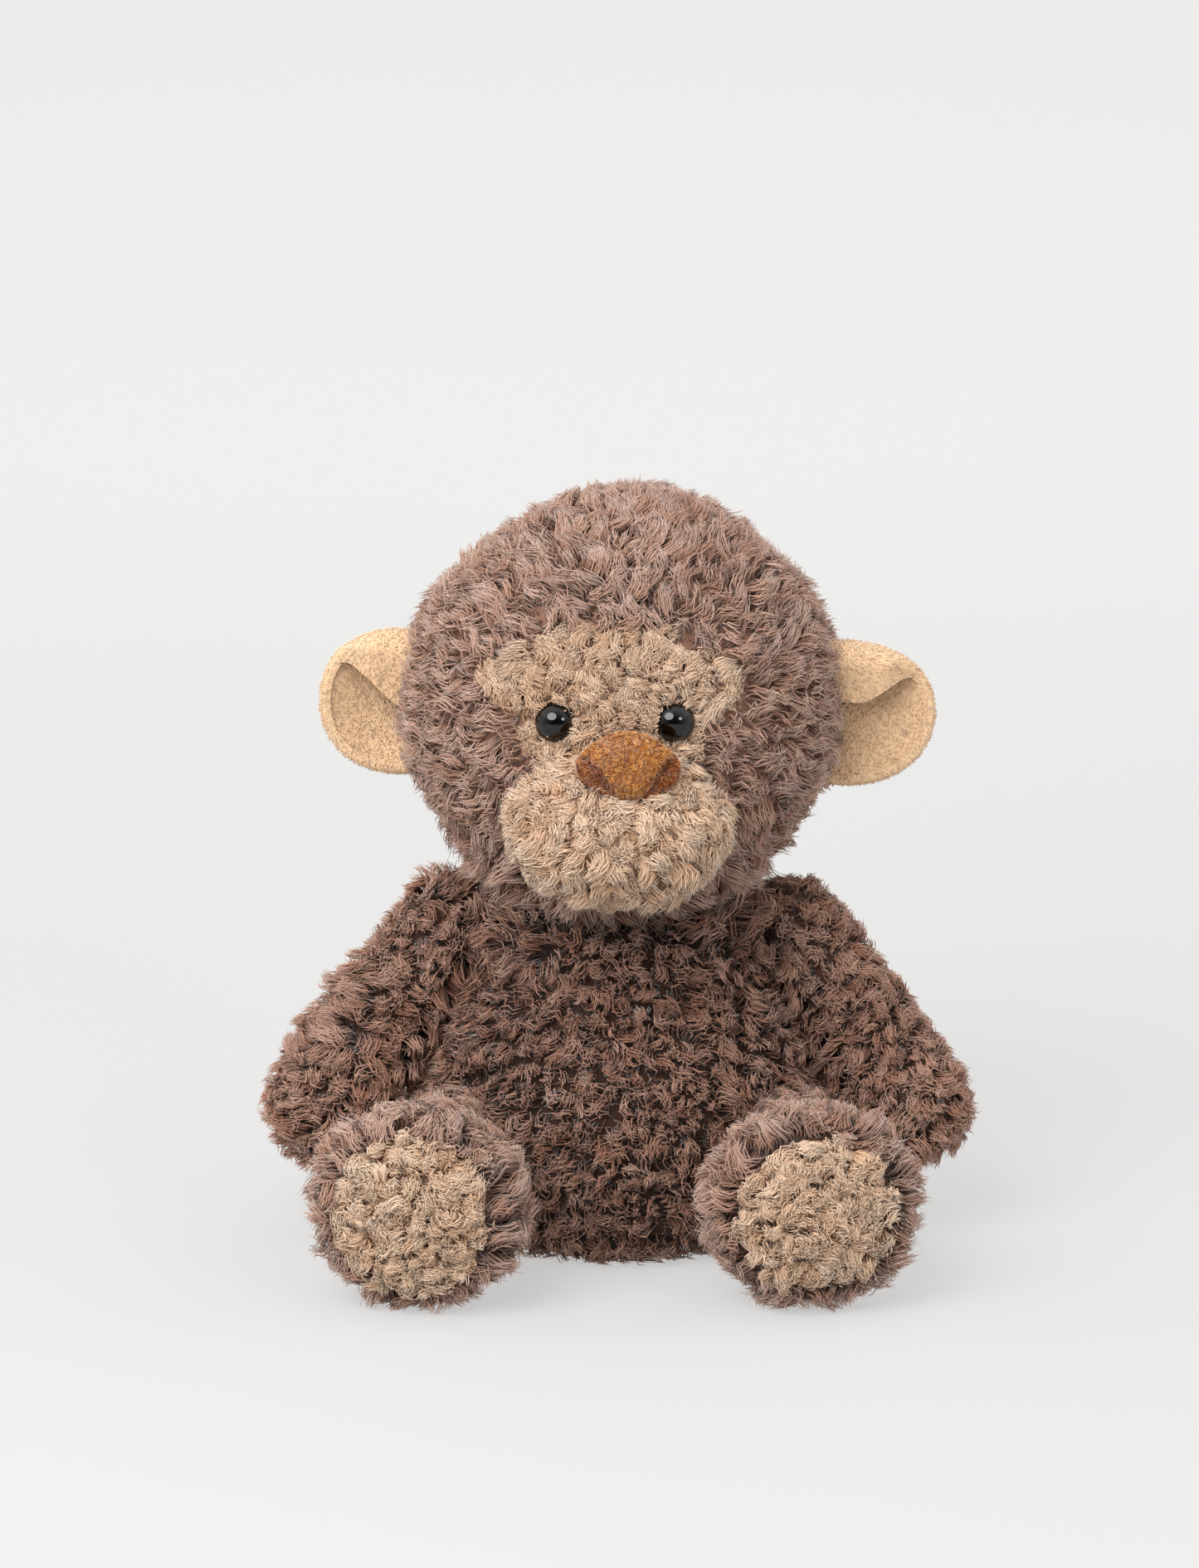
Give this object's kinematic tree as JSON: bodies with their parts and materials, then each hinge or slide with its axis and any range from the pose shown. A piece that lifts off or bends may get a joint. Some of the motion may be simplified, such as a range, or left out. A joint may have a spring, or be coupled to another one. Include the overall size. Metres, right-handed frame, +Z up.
{
  "type": "stuffed monkey",
  "caption": "Sitting plush monkey with fur-fabric covers over fibre filling, velour ears and nose, safety eyes, and sewn limbs that swing",
  "frame": {"origin": "centre of the flat seat the toy sits on", "axes": "+Z up, -Y is the way the face looks, +X is the toy's own left"},
  "size_m": [0.209, 0.1688, 0.222],
  "materials": {
    "fur_brown": "curly wool-look plush pile",
    "fur_light": "long soft plush pile",
    "fur_beige": "beige curly plush pile",
    "velour_tan": "short velour",
    "velour_rust": "short velour",
    "filling": "polyester fibre",
    "thread": "twisted thread",
    "calico": "plain weave",
    "pellets": "loose pellets",
    "eye_plastic": "polished",
    "washer_plastic": "moulded"
  },
  "bodies": {
    "torso": {"torso_front_panel": "fur_brown", "torso_back_left_panel": "fur_brown", "torso_back_right_panel": "fur_brown", "torso_base_panel": "fur_brown", "torso_stuffing": "filling", "bean_bag": "calico", "bean_pellets": "pellets"},
    "neck_seam": {"neck_stitching": "thread"},
    "neck": {"neck_stuffing": "filling"},
    "head": {"head_crown_panel": "fur_light", "head_left_panel": "fur_light", "head_right_panel": "fur_light", "head_stuffing": "filling", "face_mask": "fur_beige", "muzzle_cover": "fur_beige", "muzzle_stuffing": "filling", "nose_cover": "velour_rust", "nose_stuffing": "filling", "eye_left": "eye_plastic", "eye_right": "eye_plastic", "eye_washer_left": "washer_plastic", "eye_washer_right": "washer_plastic"},
    "ear_left": {"ear_left_lining": "velour_tan", "ear_left_padding": "filling", "ear_left_back": "velour_tan"},
    "shoulder_left": {"shoulder_left_stitching": "thread"},
    "arm_left": {"arm_left_outer_panel": "fur_brown", "arm_left_inner_panel": "fur_brown", "arm_left_stuffing": "filling"},
    "hip_left": {"hip_left_stitching": "thread"},
    "leg_left": {"leg_left_upper_panel": "fur_light", "leg_left_under_panel": "fur_light", "leg_left_stuffing": "filling", "foot_left_pad": "fur_beige"},
    "ear_right": {"ear_right_lining": "velour_tan", "ear_right_padding": "filling", "ear_right_back": "velour_tan"},
    "shoulder_right": {"shoulder_right_stitching": "thread"},
    "arm_right": {"arm_right_outer_panel": "fur_brown", "arm_right_inner_panel": "fur_brown", "arm_right_stuffing": "filling"},
    "hip_right": {"hip_right_stitching": "thread"},
    "leg_right": {"leg_right_upper_panel": "fur_light", "leg_right_under_panel": "fur_light", "leg_right_stuffing": "filling", "foot_right_pad": "fur_beige"}
  },
  "joints": [
    {"name": "neck_turn", "type": "hinge", "parent": "torso", "child": "neck_seam", "pos_m": [0, 0, 0.157], "axis": [0, 0, 1], "range_deg": [-35, 35], "stiffness_Nm_per_rad": 0.6},
    {"name": "neck_tilt", "type": "hinge", "parent": "neck_seam", "child": "neck", "pos_m": [0, 0, 0.157], "axis": [0, 1, 0], "range_deg": [-12, 12], "stiffness_Nm_per_rad": 0.6},
    {"name": "neck_nod", "type": "hinge", "parent": "neck", "child": "head", "pos_m": [0, 0, 0.157], "axis": [1, 0, 0], "range_deg": [-12, 10], "stiffness_Nm_per_rad": 0.6},
    {"name": "ear_left_fold", "type": "hinge", "parent": "head", "child": "ear_left", "pos_m": [0.06697, 0.002, 0.1549], "axis": [0.0314, 0, 0.9995], "range_deg": [-20, 15], "stiffness_Nm_per_rad": 0.02},
    {"name": "shoulder_left_swing", "type": "hinge", "parent": "torso", "child": "shoulder_left", "pos_m": [0.0515, 0, 0.092], "axis": [0.8244, 0.0599, 0.5629], "range_deg": [-65, 35]},
    {"name": "shoulder_left_lift", "type": "hinge", "parent": "shoulder_left", "child": "arm_left", "pos_m": [0.0515, 0, 0.092], "axis": [0, -1, 0], "range_deg": [0, 40]},
    {"name": "hip_left_swing", "type": "hinge", "parent": "torso", "child": "hip_left", "pos_m": [0.046, -0.022, 0.03], "axis": [-1, 0, 0], "range_deg": [-75, 15]},
    {"name": "hip_left_splay", "type": "hinge", "parent": "hip_left", "child": "leg_left", "pos_m": [0.046, -0.022, 0.03], "axis": [0, 0, 1], "range_deg": [-5, 18]},
    {"name": "ear_right_fold", "type": "hinge", "parent": "head", "child": "ear_right", "pos_m": [-0.06697, 0.002, 0.1591], "axis": [-0.0314, 0, -0.9995], "range_deg": [-20, 15], "stiffness_Nm_per_rad": 0.02},
    {"name": "shoulder_right_swing", "type": "hinge", "parent": "torso", "child": "shoulder_right", "pos_m": [-0.0515, 0, 0.092], "axis": [0.8244, -0.0599, -0.5629], "range_deg": [-65, 35]},
    {"name": "shoulder_right_lift", "type": "hinge", "parent": "shoulder_right", "child": "arm_right", "pos_m": [-0.0515, 0, 0.092], "axis": [0, 1, 0], "range_deg": [0, 40]},
    {"name": "hip_right_swing", "type": "hinge", "parent": "torso", "child": "hip_right", "pos_m": [-0.046, -0.022, 0.03], "axis": [-1, 0, 0], "range_deg": [-75, 15]},
    {"name": "hip_right_splay", "type": "hinge", "parent": "hip_right", "child": "leg_right", "pos_m": [-0.046, -0.022, 0.03], "axis": [0, 0, -1], "range_deg": [-5, 18]}
  ]
}
